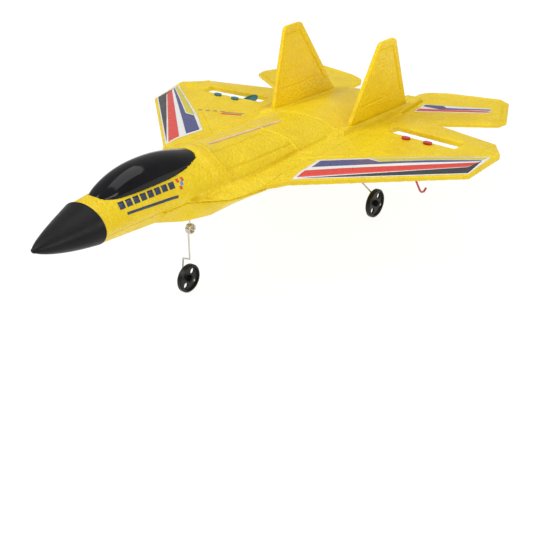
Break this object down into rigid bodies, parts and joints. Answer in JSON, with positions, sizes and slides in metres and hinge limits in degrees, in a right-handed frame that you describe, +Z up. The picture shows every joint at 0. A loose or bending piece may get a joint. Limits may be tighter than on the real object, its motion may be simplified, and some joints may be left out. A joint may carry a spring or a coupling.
{
  "type": "rc flying wing",
  "caption": "Twin-engined foam jet model with pusher propellers turning in wing slots, canted fins, black nose and canopy, and a three-wheel wire undercarriage.",
  "frame": {"origin": "on the ground under the middle of the bounding box, on the plane of symmetry", "axes": "+X to port, -Y towards the nose, +Z up"},
  "size_m": [0.29, 0.4058, 0.129],
  "materials": {
    "yellow_foam": "moulded bead foam with a waxy skin",
    "fin_foam": "moulded bead foam with a waxy skin, a little deeper in colour",
    "tail_foam": "moulded bead foam with a waxy skin",
    "nose_black": "satin black moulding",
    "canopy_black": "glossy black blown sheet",
    "glass_fibre": "pale glass-fibre strip",
    "red_plastic": "glossy red moulding",
    "teal_plastic": "glossy blue-green moulding",
    "motor_steel": "drawn steel can",
    "cap_plastic": "white end cap",
    "shaft_steel": "ground steel",
    "spring_wire": "drawn spring wire",
    "wheel_black": "black moulded plastic",
    "collar_plastic": "black plastic",
    "black_plastic": "fine-grained black plastic",
    "screw_steel": "plated steel",
    "battery_wrap": "silvery pouch with tape",
    "foam_pad": "adhesive foam pad",
    "circuit_board": "green solder mask",
    "chip_black": "moulded chip",
    "crystal_can": "plated can",
    "white_plastic": "white nylon",
    "red_lead": "soft red insulation",
    "black_lead": "soft black insulation",
    "red_lens": "red lamp lens",
    "wing_sticker": "printed vinyl: white, navy, red and black bands",
    "tail_sticker": "printed vinyl: navy, white and red bands"
  },
  "bodies": {
    "airframe": {"battery": "battery_wrap", "battery_lead_black": "black_lead", "battery_lead_red": "red_lead", "battery_pad": "foam_pad", "battery_plug": "white_plastic", "battery_socket": "white_plastic", "board_chips": "chip_black", "board_crystal": "crystal_can", "board_pad": "foam_pad", "canopy": "canopy_black", "gear_clamp_plate": "black_plastic", "gear_clamp_screws": "screw_steel", "hatch_frame": "black_plastic", "hatch_pin": "shaft_steel", "lower_body_foam": "yellow_foam", "main_gear_wire": "spring_wire", "nose_cone": "nose_black", "nose_gear_block": "black_plastic", "nose_gear_wire": "spring_wire", "nose_wheel_collar": "collar_plastic", "port_fin_foam": "fin_foam", "port_motor_can": "motor_steel", "port_motor_end_cap": "cap_plastic", "port_motor_mount": "red_plastic", "port_tailplane_foam": "tail_foam", "port_tailplane_sticker": "tail_sticker", "port_wheel_collar": "collar_plastic", "port_wing_foam": "yellow_foam", "port_wing_sticker": "wing_sticker", "receiver_board": "circuit_board", "spine_strip": "glass_fibre", "starboard_fin_foam": "fin_foam", "starboard_motor_can": "motor_steel", "starboard_motor_end_cap": "cap_plastic", "starboard_motor_mount": "teal_plastic", "starboard_tailplane_foam": "tail_foam", "starboard_tailplane_sticker": "tail_sticker", "starboard_wheel_collar": "collar_plastic", "starboard_wing_foam": "yellow_foam", "starboard_wing_sticker": "wing_sticker", "status_lamp": "red_lens", "switch_bezel": "black_plastic", "switch_body": "black_plastic", "upper_body_foam": "yellow_foam"},
    "port_prop": {"port_motor_shaft": "shaft_steel", "port_propeller": "red_plastic"},
    "starboard_prop": {"starboard_motor_shaft": "shaft_steel", "starboard_propeller": "teal_plastic"},
    "nose_wheel_body": {"nose_wheel": "wheel_black"},
    "port_wheel_body": {"port_main_wheel": "wheel_black"},
    "starboard_wheel_body": {"starboard_main_wheel": "wheel_black"},
    "hatch_door": {"battery_hatch": "black_plastic"},
    "switch_slider": {"switch_knob": "white_plastic"}
  },
  "joints": [
    {"name": "port_propeller_spin", "type": "hinge", "parent": "airframe", "child": "port_prop", "pos_m": [0.08657, 0.08166, 0.05837], "axis": [0, 0.9975, -0.0713], "continuous": true},
    {"name": "starboard_propeller_spin", "type": "hinge", "parent": "airframe", "child": "starboard_prop", "pos_m": [-0.08657, 0.08166, 0.05837], "axis": [0, 0.9975, -0.0713], "continuous": true},
    {"name": "nose_wheel_spin", "type": "hinge", "parent": "airframe", "child": "nose_wheel_body", "pos_m": [0.0005, -0.08321, 0.01], "axis": [1, 0, 0], "continuous": true},
    {"name": "port_wheel_spin", "type": "hinge", "parent": "airframe", "child": "port_wheel_body", "pos_m": [0.0495, 0.07526, 0.011], "axis": [1, 0, 0], "continuous": true},
    {"name": "starboard_wheel_spin", "type": "hinge", "parent": "airframe", "child": "starboard_wheel_body", "pos_m": [-0.0495, 0.07526, 0.011], "axis": [1, 0, 0], "continuous": true},
    {"name": "battery_hatch_open", "type": "hinge", "parent": "airframe", "child": "hatch_door", "pos_m": [0, -0.03536, 0.05811], "axis": [-1, 0, 0], "range_deg": [0, 95]},
    {"name": "power_switch_slide", "type": "slide", "parent": "airframe", "child": "switch_slider", "axis": [1, 0, 0], "range_m": [0, 0.0034]}
  ]
}
